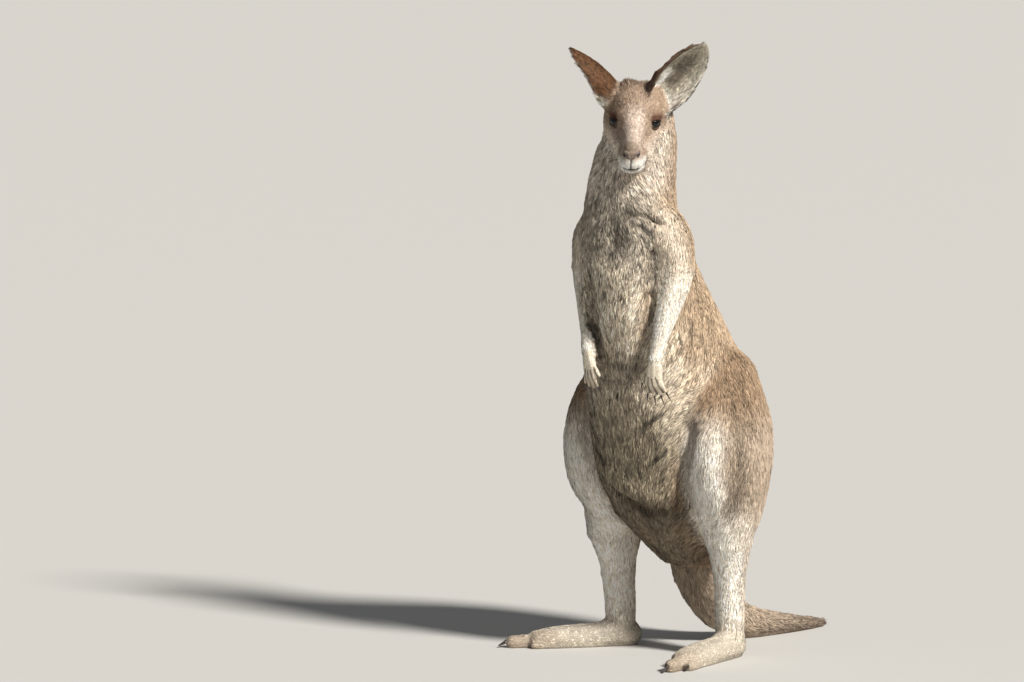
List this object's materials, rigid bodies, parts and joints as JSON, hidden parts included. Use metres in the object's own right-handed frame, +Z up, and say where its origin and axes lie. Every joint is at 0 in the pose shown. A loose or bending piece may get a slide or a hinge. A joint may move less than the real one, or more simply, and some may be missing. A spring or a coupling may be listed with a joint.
{
  "type": "grey kangaroo model",
  "caption": "Still, life-size grey kangaroo standing upright on its hind feet, tail laid behind on the floor, hands in front of the belly, head turned to one side.",
  "frame": {"origin": "middle of the whole model's footprint box, on the floor", "axes": "+Z up, -Y the way the trunk faces, +X the animal's left"},
  "size_m": [0.5202, 0.734, 1.2217],
  "materials": {
    "coat_grey": "grizzled fur",
    "coat_pale": "short pale fur",
    "coat_ear": "short fur with a pale fringe",
    "eye_dark": "wet gloss",
    "claw_horn": "dark horn"
  },
  "bodies": {
    "root": {"head": "coat_grey", "neck": "coat_grey", "trunk": "coat_grey", "tail_base": "coat_grey", "tail_middle": "coat_grey", "tail_tip": "coat_grey", "ear_left": "coat_ear", "eye_left": "eye_dark", "upper_arm_left": "coat_grey", "forearm_left": "coat_pale", "hand_left": "coat_pale", "claw_1_left": "claw_horn", "claw_2_left": "claw_horn", "claw_3_left": "claw_horn", "claw_4_left": "claw_horn", "claw_5_left": "claw_horn", "thigh_left": "coat_grey", "shank_left": "coat_pale", "foot_left": "coat_pale", "claw_fourth_left": "claw_horn", "claw_fifth_left": "claw_horn", "claw_inner_left": "claw_horn", "ear_right": "coat_ear", "eye_right": "eye_dark", "upper_arm_right": "coat_grey", "forearm_right": "coat_pale", "hand_right": "coat_pale", "claw_1_right": "claw_horn", "claw_2_right": "claw_horn", "claw_3_right": "claw_horn", "claw_4_right": "claw_horn", "claw_5_right": "claw_horn", "thigh_right": "coat_grey", "shank_right": "coat_pale", "foot_right": "coat_pale", "claw_fourth_right": "claw_horn", "claw_fifth_right": "claw_horn", "claw_inner_right": "claw_horn"}
  },
  "joints": []
}
